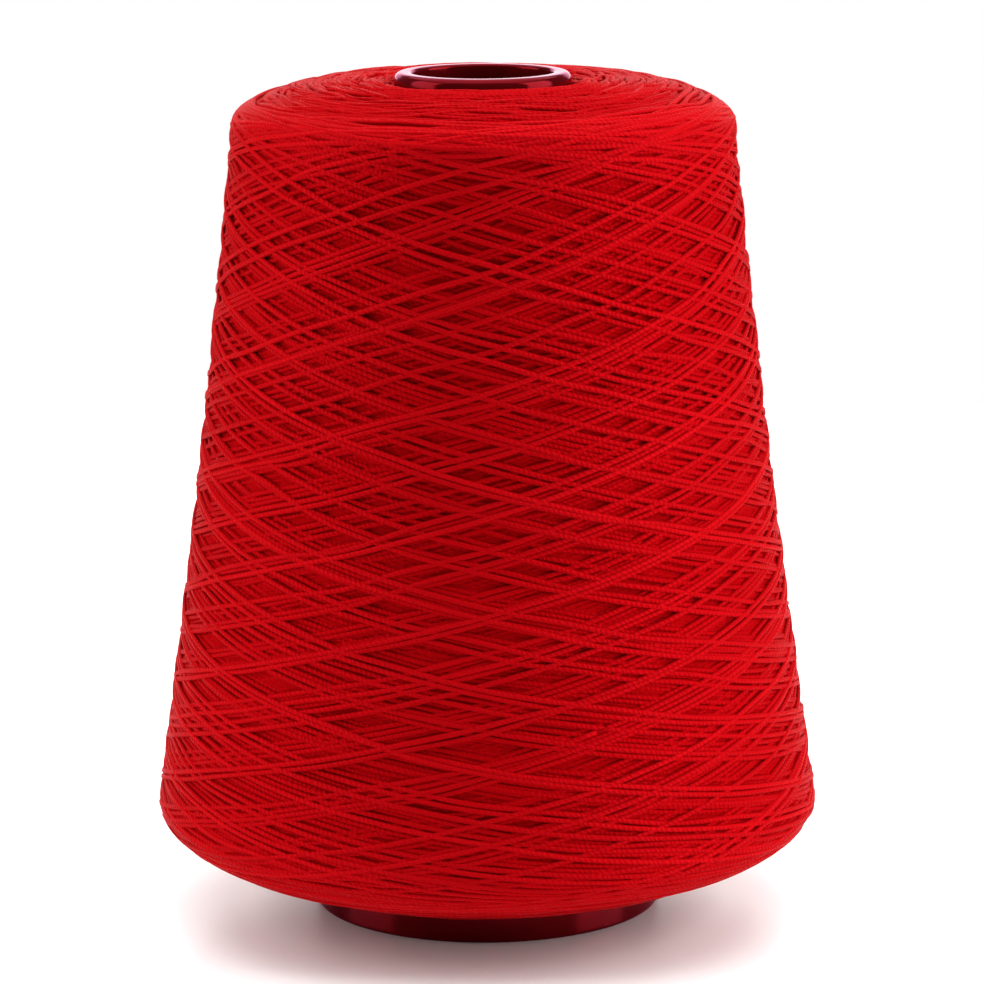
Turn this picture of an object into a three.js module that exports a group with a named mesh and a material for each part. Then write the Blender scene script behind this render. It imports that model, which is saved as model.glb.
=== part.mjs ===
// A cone of thread: a hollow moulded cone with the thread wound across it.
// Millimetres, +Z up. The origin is the centre of the ring the cone stands on.
import * as THREE from 'three';

// ---- Driving dimensions ----------------------------------------------------

// The cone is the standard one: 170 mm tall with a half angle of 5 degrees 57 minutes.
const CONE_HEIGHT = 170;
const CONE_HALF_ANGLE = THREE.MathUtils.degToRad( 5 + 57 / 60 );
const NOSE_RADIUS = 17.6;
const NECK_BORE_RADIUS = 14.1; // inside the thick lip at the nose
const NECK_DEPTH = 6;
const NECK_FLARE = 5; // height over which the lip thins to the wall
const CONE_WALL = 2.3;
const BASE_EDGE_ROUND = 0.8;
const NOSE_EDGE_ROUND = 1.5;
const RIM_INNER_ROUND = 0.7;
const CONE_SIDES = 64;

// The wound form: a straight side between a belly and a shoulder, and two domed ends.
const THREAD_GAP = 0.3; // between the winding and the cone it is wound on
const BELLY = { radius: 67.3, height: 22.5 };
const SHOULDER = { radius: 50.3, height: 160 };
const SIDE_HOLLOW = 0.7; // the side's soft waist
const CREST = { radius: 27, height: 168.8 }; // highest ring of the top end
const MOAT = { radius: 20, height: 168, floor: 165.5 }; // dip around the nose
const UNDERSIDE_HEIGHT = 5.6; // where the lowest turn leaves the cone
const UNDERSIDE_SLOPE = THREE.MathUtils.degToRad( 13 );

// How far each end's curve keeps its first and last direction: out along the underside,
// down from the belly, up from the shoulder, and level from the crest.
const UNDERSIDE_PULL = 18;
const BELLY_PULL = { out: 0.4, down: 7 };
const SHOULDER_PULL = { in: 0.5, up: 4 };
const CREST_PULL = 11;

// The winding: passes of thread cross the side both ways and bunch into ribbons.
const COLUMNS = 48; // steps round the winding
const RIBBONS = 8; // raised ribbons each way
const TURN_RISE = 104.5; // climb of a ribbon in one turn
const RIBBON_CREST = 0.3; // ribbon above the form's outline
const RIBBON_VALLEY = 0.6; // ground between ribbons below it
const RIBBON_FADE = 9; // distance from either end in which a ribbon turns back and sinks

const END_STEPS = 8; // steps along each domed end
const BORE_STEPS = 5; // steps down the winding's bore

// ---- Shared geometry -------------------------------------------------------

function coneRadius( height ) {

	return NOSE_RADIUS + ( CONE_HEIGHT - height ) * Math.tan( CONE_HALF_ANGLE );

}

// The bore's flats, not its corners, keep the gap to the cone.
function windingBoreRadius( height ) {

	return ( coneRadius( height ) + THREAD_GAP ) / Math.cos( Math.PI / COLUMNS );

}

// ---- Cone ------------------------------------------------------------------

function coneSection() {

	const baseRadius = coneRadius( 0 );
	const wallBelowLip = CONE_HEIGHT - NECK_DEPTH - NECK_FLARE;
	const section = new THREE.Shape();
	section.moveTo( baseRadius - CONE_WALL, 0 );
	section.lineTo( baseRadius - BASE_EDGE_ROUND, 0 );
	section.quadraticCurveTo( baseRadius, 0, coneRadius( BASE_EDGE_ROUND ), BASE_EDGE_ROUND );
	section.lineTo( coneRadius( CONE_HEIGHT - NOSE_EDGE_ROUND ), CONE_HEIGHT - NOSE_EDGE_ROUND );
	section.quadraticCurveTo( NOSE_RADIUS, CONE_HEIGHT, NOSE_RADIUS - NOSE_EDGE_ROUND, CONE_HEIGHT );
	section.lineTo( NECK_BORE_RADIUS + RIM_INNER_ROUND, CONE_HEIGHT );
	section.quadraticCurveTo( NECK_BORE_RADIUS, CONE_HEIGHT, NECK_BORE_RADIUS, CONE_HEIGHT - RIM_INNER_ROUND );
	section.lineTo( NECK_BORE_RADIUS, CONE_HEIGHT - NECK_DEPTH );
	section.lineTo( coneRadius( wallBelowLip ) - CONE_WALL, wallBelowLip );
	section.closePath();
	return section.getPoints( 4 );

}

function makeConeCore() {

	const geometry = new THREE.LatheGeometry( coneSection(), CONE_SIDES );
	geometry.rotateX( Math.PI / 2 );
	const plastic = new THREE.MeshStandardMaterial( { color: 0x3a0408, roughness: 0.25, metalness: 0 } );
	const cone = new THREE.Mesh( geometry, plastic );
	cone.name = 'cone_core';
	return cone;

}

// ---- Winding ---------------------------------------------------------------

// The rows of the side are spaced so that a ribbon crosses one column in each row.
function sideRows() {

	const foot = new THREE.Vector2( BELLY.radius, BELLY.height );
	const head = new THREE.Vector2( SHOULDER.radius, SHOULDER.height );
	const length = foot.distanceTo( head );
	const count = Math.round( length * COLUMNS / TURN_RISE );
	const outward = new THREE.Vector2( head.y - foot.y, foot.x - head.x ).normalize();
	const rows = [];
	for ( let row = 0; row <= count; row ++ ) {

		const along = row / count;
		const fromEnd = Math.min( along, 1 - along ) * length;
		const ribbon = THREE.MathUtils.smoothstep( fromEnd, 0, RIBBON_FADE );
		const waist = SIDE_HOLLOW * Math.sin( Math.PI * along );
		const point = foot.clone().lerp( head, along ).addScaledVector( outward, - waist );
		rows.push( { point, outward, ribbon, row } );

	}

	return rows;

}

function curvePoints( start, startPull, endPull, end, steps ) {

	return new THREE.CubicBezierCurve( start, startPull, endPull, end ).getPoints( steps );

}

// The domed underside, from the cone out to the belly.
function undersidePoints() {

	const start = new THREE.Vector2( windingBoreRadius( UNDERSIDE_HEIGHT ), UNDERSIDE_HEIGHT );
	const end = new THREE.Vector2( BELLY.radius, BELLY.height );
	const leave = new THREE.Vector2( Math.cos( UNDERSIDE_SLOPE ), Math.sin( UNDERSIDE_SLOPE ) );
	const startPull = start.clone().addScaledVector( leave, UNDERSIDE_PULL );
	const endPull = new THREE.Vector2( BELLY.radius + BELLY_PULL.out, BELLY.height - BELLY_PULL.down );
	return curvePoints( start, startPull, endPull, end, END_STEPS );

}

// The domed top, from the shoulder over the crest and down into the dip round the nose.
function topPoints() {

	const start = new THREE.Vector2( SHOULDER.radius, SHOULDER.height );
	const crest = new THREE.Vector2( CREST.radius, CREST.height );
	const startPull = new THREE.Vector2( start.x - SHOULDER_PULL.in, start.y + SHOULDER_PULL.up );
	const endPull = new THREE.Vector2( CREST.radius + CREST_PULL, CREST.height );
	const dome = curvePoints( start, startPull, endPull, crest, END_STEPS );
	const lip = new THREE.Vector2( MOAT.radius, MOAT.height );
	const floor = new THREE.Vector2( windingBoreRadius( MOAT.floor ), MOAT.floor );
	return [ ...dome, lip, floor ];

}

// One closed row list round the winding's section: underside, side, top and bore.
function windingRows() {

	const plain = ( point ) => ( { point, outward: new THREE.Vector2(), ribbon: 0, row: 0 } );
	const underside = undersidePoints().slice( 0, - 1 ).map( plain );
	const top = topPoints().slice( 1 ).map( plain );
	const bore = [];
	for ( let step = 1; step < BORE_STEPS; step ++ ) {

		const height = THREE.MathUtils.lerp( MOAT.floor, UNDERSIDE_HEIGHT, step / BORE_STEPS );
		bore.push( plain( new THREE.Vector2( windingBoreRadius( height ), height ) ) );

	}

	return [ ...underside, ...sideRows(), ...top, ...bore ];

}

function onRibbon( row, column, way ) {

	const spacing = COLUMNS / RIBBONS;
	return ( column - way * row + COLUMNS * spacing ) % spacing === 0;

}

function surfaceLift( { ribbon, row }, column ) {

	const raised = onRibbon( row, column, 1 ) || onRibbon( row, column, - 1 );
	return ribbon * ( raised ? RIBBON_CREST : - RIBBON_VALLEY );

}

function makeWoundThread() {

	const rows = windingRows();
	const positions = [];
	for ( const row of rows ) {

		for ( let column = 0; column < COLUMNS; column ++ ) {

			const angle = 2 * Math.PI * column / COLUMNS;
			const place = row.point.clone().addScaledVector( row.outward, surfaceLift( row, column ) );
			positions.push( place.x * Math.cos( angle ), place.x * Math.sin( angle ), place.y );

		}

	}

	// Each cell is split along the ribbon that runs through it.
	const triangles = [];
	for ( let index = 0; index < rows.length; index ++ ) {

		const next = ( index + 1 ) % rows.length;
		for ( let column = 0; column < COLUMNS; column ++ ) {

			const right = ( column + 1 ) % COLUMNS;
			const a = index * COLUMNS + column;
			const b = index * COLUMNS + right;
			const c = next * COLUMNS + right;
			const d = next * COLUMNS + column;
			const falling = rows[ index ].ribbon > 0 && onRibbon( rows[ index ].row, column + 1, - 1 );
			if ( falling ) triangles.push( a, b, d, b, c, d );
			else triangles.push( a, b, c, a, c, d );

		}

	}

	const geometry = new THREE.BufferGeometry();
	geometry.setAttribute( 'position', new THREE.Float32BufferAttribute( positions, 3 ) );
	geometry.setIndex( triangles );
	geometry.computeVertexNormals();
	const yarn = new THREE.MeshStandardMaterial( { color: 0xb8070f, roughness: 0.75, metalness: 0 } );
	const winding = new THREE.Mesh( geometry, yarn );
	winding.name = 'wound_thread';
	return winding;

}

// ---- Assembly --------------------------------------------------------------

const coneOfThread = new THREE.Group();
coneOfThread.add( makeConeCore(), makeWoundThread() );

export default coneOfThread;
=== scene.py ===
"""A cone of thread: the moulded cone, the thread wound on it pass by pass, and a plain studio."""

import functools
import math

import bpy
import numpy as np
from bpy.props import FloatProperty, FloatVectorProperty, IntProperty, PointerProperty
from mathutils import Matrix, Vector


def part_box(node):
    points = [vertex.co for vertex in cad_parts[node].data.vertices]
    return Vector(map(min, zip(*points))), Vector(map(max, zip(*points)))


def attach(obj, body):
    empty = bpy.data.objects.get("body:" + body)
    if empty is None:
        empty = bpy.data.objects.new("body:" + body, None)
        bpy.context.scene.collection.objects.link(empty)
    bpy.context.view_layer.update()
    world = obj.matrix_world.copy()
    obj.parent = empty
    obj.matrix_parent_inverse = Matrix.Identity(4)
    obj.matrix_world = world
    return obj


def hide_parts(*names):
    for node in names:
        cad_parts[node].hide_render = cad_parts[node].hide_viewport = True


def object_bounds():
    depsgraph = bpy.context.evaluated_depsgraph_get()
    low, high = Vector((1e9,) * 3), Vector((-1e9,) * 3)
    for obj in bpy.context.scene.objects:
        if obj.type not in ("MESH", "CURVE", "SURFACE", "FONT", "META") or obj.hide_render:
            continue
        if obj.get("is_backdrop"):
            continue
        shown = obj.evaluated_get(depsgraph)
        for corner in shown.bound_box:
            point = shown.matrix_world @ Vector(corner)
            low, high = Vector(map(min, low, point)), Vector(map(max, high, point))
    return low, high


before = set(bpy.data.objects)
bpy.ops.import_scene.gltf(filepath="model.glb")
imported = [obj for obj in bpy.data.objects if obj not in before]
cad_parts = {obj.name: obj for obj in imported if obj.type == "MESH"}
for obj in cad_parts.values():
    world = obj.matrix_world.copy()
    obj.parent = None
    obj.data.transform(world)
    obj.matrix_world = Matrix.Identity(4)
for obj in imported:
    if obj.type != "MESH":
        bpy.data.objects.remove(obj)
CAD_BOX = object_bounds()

bl_info = {
    "name": "Cone of thread",
    "version": (1, 0, 0),
    "blender": (4, 5, 0),
    "location": "3D View > Sidebar > Thread",
    "description": "Winds a cone of thread pass by pass round its moulded cone",
    "category": "Add Mesh",
}

MM = 0.001
TURN = 2 * math.pi
CORE_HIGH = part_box("cone_core")[1]
WOUND_LOW, WOUND_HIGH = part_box("wound_thread")


# ---- Sizes and colours -----------------------------------------------------


def length(name, description, default):
    """A length in metres that the sidebar shows in scene units."""
    return FloatProperty(name=name, description=description, default=default, unit="LENGTH", precision=5)


def angle(name, description, degrees):
    """An angle, given here in degrees and held in radians."""
    return FloatProperty(
        name=name, description=description, default=math.radians(degrees), subtype="ANGLE", unit="ROTATION"
    )


def number(name, description, default):
    """A plain number."""
    return FloatProperty(name=name, description=description, default=default)


def count(name, description, default):
    """A whole number."""
    return IntProperty(name=name, description=description, default=default, min=1)


def climbs(name, description, default):
    """Three lengths: at the belly, half way up the side and at the shoulder."""
    return FloatVectorProperty(name=name, description=description, default=default, size=3, unit="LENGTH")


def colour(name, description, default):
    """A linear RGB colour."""
    return FloatVectorProperty(
        name=name, description=description, default=default, size=3, subtype="COLOR", min=0, max=1
    )


class ConeSizes(bpy.types.PropertyGroup):
    """Sizes of the moulded cone."""

    height: length("Height", "Height of the cone", CORE_HIGH.z)
    base_radius: length("Base radius", "Outer radius of the ring it stands on", CORE_HIGH.x)
    half_angle: angle("Half angle", "Slope of the cone's side from its axis", 5 + 57 / 60)
    wall: length("Wall", "Thickness of the side", 2.3 * MM)
    neck_bore: length("Neck bore", "Inner radius of the lip at the nose", 14.1 * MM)
    neck_depth: length("Neck depth", "Depth of the thick lip", 6 * MM)
    neck_flare: length("Neck flare", "Height over which the lip thins to the wall", 5 * MM)
    nose_round: length("Nose round", "Radius of the nose's outer edge", 1.5 * MM)
    rim_round: length("Rim round", "Radius of the nose's inner edge", 0.7 * MM)
    base_round: length("Base round", "Radius of the base ring's edges", 0.8 * MM)
    sides: count("Sides", "Steps round the cone", 160)


class FormSizes(bpy.types.PropertyGroup):
    """Outline of the wound form."""

    belly_radius: length("Belly radius", "Widest radius of the winding", WOUND_HIGH.x)
    belly_height: length("Belly height", "Height of the widest ring", 22.5 * MM)
    shoulder_radius: length("Shoulder radius", "Radius where the side turns in", 50.3 * MM)
    shoulder_height: length("Shoulder height", "Height where the side turns in", 160 * MM)
    waist: length("Waist", "Hollow of the side between belly and shoulder", 0.7 * MM)
    crest_radius: length("Crest radius", "Radius of the highest ring", 27 * MM)
    crest_height: length("Crest height", "Height of the highest ring", WOUND_HIGH.z)
    moat_depth: length("Moat depth", "Dip of the winding round the nose", 3.3 * MM)
    foot_height: length("Foot height", "Height where the winding leaves the cone", WOUND_LOW.z)
    foot_slope: angle("Foot slope", "Slope of the underside where it leaves the cone", 13)


class WindingSizes(bpy.types.PropertyGroup):
    """How the thread is laid on."""

    thread: length("Thread", "Diameter of the thread", 1.1 * MM)
    squeeze: number("Squeeze", "Share of its radius that a thread keeps where it is crossed", 0.62)
    strokes: count("Strokes", "Double strokes of the guide that are wound", 150)
    turns: number("Turns", "Turns round the cone in one double stroke", 3.8)
    beside: angle("Beside", "How far a stroke falls beside the fifth one before it", 5.6)
    ribbon_least: count("Ribbon, least", "Fewest strokes before the ribbons start afresh", 9)
    ribbon_most: count("Ribbon, most", "Most strokes before the ribbons start afresh", 22)
    ribbon_jump: angle("Ribbon jump", "How far from the old ribbons the new ones start", 20)
    rise_up: climbs("Rise up", "Climb in a turn on the way up", (98 * MM, 102 * MM, 122 * MM))
    rise_down: climbs("Rise down", "Climb in a turn on the way down", (60 * MM, 100 * MM, 104 * MM))
    turn_back_foot: length("Turn back, foot", "Length over which the guide slows at the belly", 13 * MM)
    turn_back_head: length("Turn back, head", "Length over which the guide slows at the shoulder", 16 * MM)
    overrun_foot: length("Overrun, foot", "How far strokes pass the belly", 9.5 * MM)
    overrun_head: length("Overrun, head", "How far strokes pass the shoulder", 4 * MM)
    uneven: length("Uneven", "Spread of the places where strokes turn back", 2.5 * MM)
    growth: length("Growth", "Thickness that one double stroke adds", 0.014 * MM)
    end_turns: count("End turns", "Short arcs of earlier strokes that show at each end", 880)
    seed: count("Seed", "Seed of the uneven laying", 7)


class Finishes(bpy.types.PropertyGroup):
    """Colours of the thread, the cone and the floor, with the thread's painted shade colours."""

    thread: colour("Thread", "Colour of the thread", (0.55, 0.0040, 0.0074))
    # Painted shade between the plies and on the deep layers' relief; the slow random patches of darker tone
    # also fade toward this colour.
    groove_shade: colour("Groove_shade", "Colour between the plies", (0.34, 0.0002, 0.0015))
    # Painted shade: the colour of a thread that lies under others, of each thread's underside and sides, and
    # of the deep layers.
    deep_shade: colour("Deep", "Colour of the thread where it lies under others", (0.35, 0.0010, 0.0028))
    gloss: colour("Gloss", "Tint of the thread's highlights", (1.0, 0.05, 0.1))
    plastic: colour("Plastic", "Colour of the moulded cone", (0.085, 0.0009, 0.0022))
    sheen: colour("Sheen", "Tint of the plastic's reflections", (1.0, 0.35, 0.6))
    floor: colour("Floor", "Colour of the floor", (0.95, 0.95, 0.95))


class StudioSizes(bpy.types.PropertyGroup):
    """Camera and lights."""

    lens: number("Lens", "Focal length in millimetres on a 36 mm sensor", 162.75)
    distance: length("Distance", "Camera's distance from the cone's axis", 885.2 * MM)
    height: length("Height", "Camera's height above the floor", 259.2 * MM)
    pitch: angle("Pitch", "Camera's tilt below level", 11.16)
    yaw: angle("Yaw", "Camera's turn from the cone's axis", -0.088)
    roll: angle("Roll", "Camera's lean", -0.34)
    room: number("Room", "Light that the white room gives the cone", 0.17)


# ---- Wound form ------------------------------------------------------------


def smooth_curve(start, start_pull, end_pull, end, steps=60):
    """A cubic curve from start to end."""
    t = np.linspace(0, 1, steps)[:, None]
    start, start_pull, end_pull, end = (np.array(p) for p in (start, start_pull, end_pull, end))
    near = (1 - t) ** 3 * start + 3 * (1 - t) ** 2 * t * start_pull
    far = 3 * (1 - t) * t**2 * end_pull + t**3 * end
    return near + far


class WoundForm:
    """The winding's outline, from the cone's foot round the belly, up the side and in to the nose."""

    CELL = 0.36 * MM
    COLUMNS = 1000
    GAP = 0.3 * MM  # between the winding and the cone
    FOOT_PULL = 18 * MM
    BELLY_OUT, BELLY_DOWN = 0.4 * MM, 7 * MM
    SHOULDER_IN, SHOULDER_UP = 0.5 * MM, 4 * MM
    CREST_PULL = 11 * MM
    MOAT_PULL = 3 * MM

    def __init__(self, cone, form):
        self.cone = cone
        self.form = form
        outline, belly, shoulder = self.outline()
        along = self.lengths(outline)
        self.along = np.arange(0, along[-1], self.CELL)
        self.rows = len(self.along)
        self.radius = np.interp(self.along, along, outline[:, 0])
        self.height = np.interp(self.along, along, outline[:, 1])
        out, up = np.gradient(self.radius), np.gradient(self.height)
        size = np.hypot(out, up)
        self.normal_out, self.normal_up = up / size, -out / size
        self.step = TURN / self.COLUMNS
        self.belly, self.shoulder, self.end = along[belly], along[shoulder], self.along[-1]

    @staticmethod
    def lengths(points):
        """Distance along a line of points at each point."""
        steps = np.hypot(*np.diff(points, axis=0).T)
        return np.concatenate([[0], np.cumsum(steps)])

    def cone_radius(self, height):
        """Outer radius of the moulded cone."""
        return self.cone.base_radius - height * math.tan(self.cone.half_angle)

    def outline(self):
        """Radius and height of each point, and where the belly and the shoulder are."""
        form = self.form
        foot = (self.cone_radius(form.foot_height) + self.GAP, form.foot_height)
        belly = (form.belly_radius, form.belly_height)
        shoulder = (form.shoulder_radius, form.shoulder_height)
        crest = (form.crest_radius, form.crest_height)
        moat_floor = form.crest_height - form.moat_depth
        moat = (self.cone_radius(moat_floor) + self.GAP, moat_floor)
        leave = (
            foot[0] + self.FOOT_PULL * math.cos(form.foot_slope),
            foot[1] + self.FOOT_PULL * math.sin(form.foot_slope),
        )
        underside = smooth_curve(
            foot, leave, (belly[0] + self.BELLY_OUT, belly[1] - self.BELLY_DOWN), belly
        )
        side = self.side(np.array(belly), np.array(shoulder))
        top = smooth_curve(
            shoulder,
            (shoulder[0] - self.SHOULDER_IN, shoulder[1] + self.SHOULDER_UP),
            (crest[0] + self.CREST_PULL, crest[1]),
            crest,
        )
        dip = smooth_curve(
            crest, (crest[0] - self.MOAT_PULL, crest[1]), (moat[0], crest[1]), moat, steps=20
        )
        points = np.vstack([underside[:-1], side[:-1], top[:-1], dip])
        belly_at = len(underside) - 1
        return points, belly_at, belly_at + len(side) - 1

    def side(self, belly, shoulder, steps=120):
        """The side between belly and shoulder, with its soft waist."""
        t = np.linspace(0, 1, steps)[:, None]
        rise = shoulder - belly
        outward = np.array([rise[1], -rise[0]]) / np.hypot(*rise)
        return belly + rise * t - outward * self.form.waist * np.sin(math.pi * t)

    def place(self, turn, along, lift):
        """Points in space for turns round the axis, places along the outline and heights above it."""
        radius = np.interp(along, self.along, self.radius)
        height = np.interp(along, self.along, self.height)
        out = np.interp(along, self.along, self.normal_out)
        up = np.interp(along, self.along, self.normal_up)
        reach = radius + lift * out
        points = np.stack([reach * np.cos(turn), reach * np.sin(turn), height + lift * up], 1)
        normals = np.stack([out * np.cos(turn), out * np.sin(turn), up], 1)
        return points, normals


# ---- Laying the thread -----------------------------------------------------


def blurred(values, reach):
    """A moving average over reach samples each way."""
    weights = np.hanning(2 * reach + 1)
    return np.convolve(np.pad(values, reach, mode="edge"), weights / weights.sum(), mode="valid")


def smoothed(cells, reach):
    """A moving average over reach cells each way, round the columns and along the rows."""
    weights = np.hanning(2 * reach + 3)[1:-1]
    weights /= weights.sum()
    padded = np.pad(cells, ((reach, reach), (0, 0)), mode="wrap")
    padded = np.pad(padded, ((0, 0), (reach, reach)), mode="edge")
    columns, rows = cells.shape
    padded = sum(weight * padded[at : at + columns] for at, weight in enumerate(weights))
    return sum(weight * padded[:, at : at + rows] for at, weight in enumerate(weights))


def drawn_tight(run, height):
    """The lowest line without dips that stays on or over these points, as a taut thread lies."""
    xs, ys = run.tolist(), height.tolist()
    held = []
    for i, (x, y) in enumerate(zip(xs, ys)):
        while len(held) >= 2:
            a, b = held[-2], held[-1]
            if (ys[b] - ys[a]) * (x - xs[b]) > (y - ys[b]) * (xs[b] - xs[a]):
                break
            held.pop()
        held.append(i)
    return np.interp(run, run[held], height[held])


class Winding:
    """A height map of what is wound so far, and every stretch of thread laid on it."""

    FREE_RISE = 0.5 * MM  # how far a crossing may stand from the level of its layer
    SLIP_COST = 0.1  # height that makes a thread slide sideways by one unit
    SLIP_STEP = 0.4 * MM  # from one place that a sliding thread tries to the next
    END_DROP = 4.6 * MM  # fall of an end turn one radian from its middle
    END_DEPTH = 1.4 * MM  # loose depth that the end turns fill
    END_SHUFFLE = 45  # places by which an end turn may come early or late
    END_HALVES = 18, 38  # degrees in half an end turn, least and most
    END_LEAN = 1.8 * MM  # spread of an end turn's slant, from its middle to its tip
    END_WANDER, END_KNOTS = 0.35 * MM, 6
    END_SLIDE, END_EASE = 0.6 * MM, 22  # how far an end turn slides, and over how many columns
    END_TOPS = -0.25, 0.1  # millimetres over the outline that an end turn may reach, least and most
    END_REST = 70  # percentile of the heights under an end turn that it rests on
    GUIDE_STEPS = 800  # points on the guide's path in one stroke
    STROKE_WANDER, STROKE_KNOTS = 0.15 * MM, 8
    STROKE_SLIDE, STROKE_EASE = 0.8 * MM, 35
    HELD_COLUMNS = 40  # columns at a stroke's ends over which it is held to the guide's path
    JOINED_COLUMNS = 30  # columns over which a stroke's height runs on from the last one's
    FIFTH = 5  # strokes after which one falls beside another
    STRAY_KEPT = 0.9  # share of its stray that the guide keeps from stroke to stroke
    FOOT_UNEVEN = 0.8  # spread of the turning places at the foot beside those at the head
    FEATHER = 12 * MM  # stretch over which the side's layers thin out at each end
    STROKE_STRAY, JUMP_STRAY = math.radians(0.5), math.radians(4)
    PROUD_SIDE, PROUD_SHOULDER, PROUD_NOSE = -0.12 * MM, 0.3 * MM, -0.1 * MM  # highest threads' rise
    BACKING_NEAR, BACKING_FAR = 0.4 * MM, 0.65 * MM  # the deep layers' depth under the surface and its mean
    BACKING_REACH = 4  # cells over which that surface is smoothed
    LEVEL_REACH = 25  # cells along the outline over which a level is smoothed
    HIGHEST = 96  # percentile of the heights round a ring that its highest threads reach
    NOSE_REACH, SIDE_INSET = 12 * MM, 8 * MM  # where the nose's and the side's rises begin

    def __init__(self, form, sizes):
        self.form = form
        self.sizes = sizes
        self.random = np.random.default_rng(sizes.seed)
        self.radius = sizes.thread / 2
        reach = math.ceil(self.radius / form.CELL)
        self.offsets = range(-reach, reach + 1)
        self.foot = form.belly - sizes.overrun_foot
        self.head = form.shoulder + sizes.overrun_head
        self.depth = sizes.strokes * sizes.growth + self.radius
        self.share = self.side_share(form.along)
        ground = -self.END_DEPTH * (1 - self.share) - self.depth * self.share
        self.ground = ground
        self.map = np.tile(ground[None], (form.COLUMNS, 1))
        self.end_strands = []
        self.side_along, self.side_lift = [], []

    def side_share(self, along):
        """One on the side, falling to nothing where strokes turn back."""
        foot = (along - (self.foot - self.FEATHER / 2)) / self.FEATHER
        head = ((self.head + self.FEATHER / 3) - along) / self.FEATHER
        share = np.clip(foot, 0, 1) * np.clip(head, 0, 1)
        return share**2 * (3 - 2 * share)

    def cells(self, along):
        """For each cell across the thread: its row, and the thread's half height there or None."""
        at = along / self.form.CELL
        nearest = np.round(at).astype(int)
        for offset in self.offsets:
            row = np.clip(nearest + offset, 0, self.form.rows - 1)
            inside = self.radius**2 - ((at - row) * self.form.CELL) ** 2
            rise = self.sizes.squeeze * np.sqrt(np.maximum(inside, 0))
            yield row, rise, inside > 0

    def support(self, columns, along):
        """Lowest height of a thread's middle that what lies under it allows."""
        best = np.full(along.shape, -1.0)
        for row, rise, inside in self.cells(along):
            best = np.maximum(best, np.where(inside, self.map[columns, row] + rise, -1.0))
        return best

    def press(self, columns, along, lift):
        """Adds a laid thread to the height map."""
        for row, rise, inside in self.cells(along):
            np.maximum.at(self.map, (columns, row), np.where(inside, lift + rise, -1.0))

    def slide(self, columns, along, reach, window):
        """Moves a thread sideways into the valley beside it."""
        shifts = np.arange(-reach, reach + self.form.CELL / 2, self.SLIP_STEP)
        costs = [
            blurred(self.support(columns, along + shift), window) + self.SLIP_COST * abs(shift)
            for shift in shifts
        ]
        return blurred(shifts[np.argmin(costs, axis=0)], window)

    def wander(self, samples, size, knots):
        """A slow uneven line."""
        picked = self.random.normal(0, size, knots)
        return np.interp(np.linspace(0, 1, samples), np.linspace(0, 1, knots), picked)

    def lay_end_turns(self, inner, outer, kind):
        """Lays the arcs of earlier strokes that show at an end, from the cone outwards."""
        form, sizes = self.form, self.sizes
        for turn in range(sizes.end_turns):
            share = (turn + self.random.uniform(-self.END_SHUFFLE, self.END_SHUFFLE)) / sizes.end_turns
            middle = inner + (outer - inner) * share
            half = math.radians(self.random.uniform(*self.END_HALVES))
            start = int(self.random.uniform(0, form.COLUMNS))
            samples = int(2 * half / form.step) + 1
            swing = (np.arange(samples) - (samples - 1) / 2) * form.step
            columns = (start + np.arange(samples)) % form.COLUMNS
            lean = self.random.normal(0, self.END_LEAN) * swing / half
            along = middle + lean + self.wander(samples, self.END_WANDER, self.END_KNOTS)
            along = np.clip(along, self.radius, form.end - self.radius)
            along = along + self.slide(columns, along, self.END_SLIDE, self.END_EASE)
            along = np.clip(along, self.radius, form.end - self.radius)
            fall = -self.END_DROP * swing**2
            resting = self.support(columns, along) - fall
            shown = np.abs(swing) < half / 2
            top = self.random.uniform(*self.END_TOPS) * MM
            lift = min(np.percentile(resting[shown], self.END_REST), top) + fall
            self.press(columns, along, lift)
            self.end_strands.append((kind, start, along, lift))

    def traverse(self, foot, head, rises):
        """Turn and place of one stroke, from the foot to the head, as the guide lays it."""
        form, sizes = self.form, self.sizes
        share = np.linspace(0, 1, self.GUIDE_STEPS)
        along = foot + (head - foot) * (1 - np.cos(math.pi * share)) / 2
        side = np.linspace(form.belly, form.shoulder, 3)
        rise = np.interp(along, side, rises) / TURN
        near_foot = np.clip((along - foot) / sizes.turn_back_foot, 0, 1)
        near_head = np.clip((head - along) / sizes.turn_back_head, 0, 1)
        speed = rise * np.sqrt(near_foot * near_head)
        travel = (head - foot) * math.pi / 2 * np.sin(math.pi * share)
        rate = travel[1:-1] / speed[1:-1]
        rate = np.concatenate([[2 * rate[0] - rate[1]], rate, [2 * rate[-1] - rate[-2]]])
        turns = np.cumsum((rate[1:] + rate[:-1]) / 2) * (share[1] - share[0])
        return np.concatenate([[0], turns]), along

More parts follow.
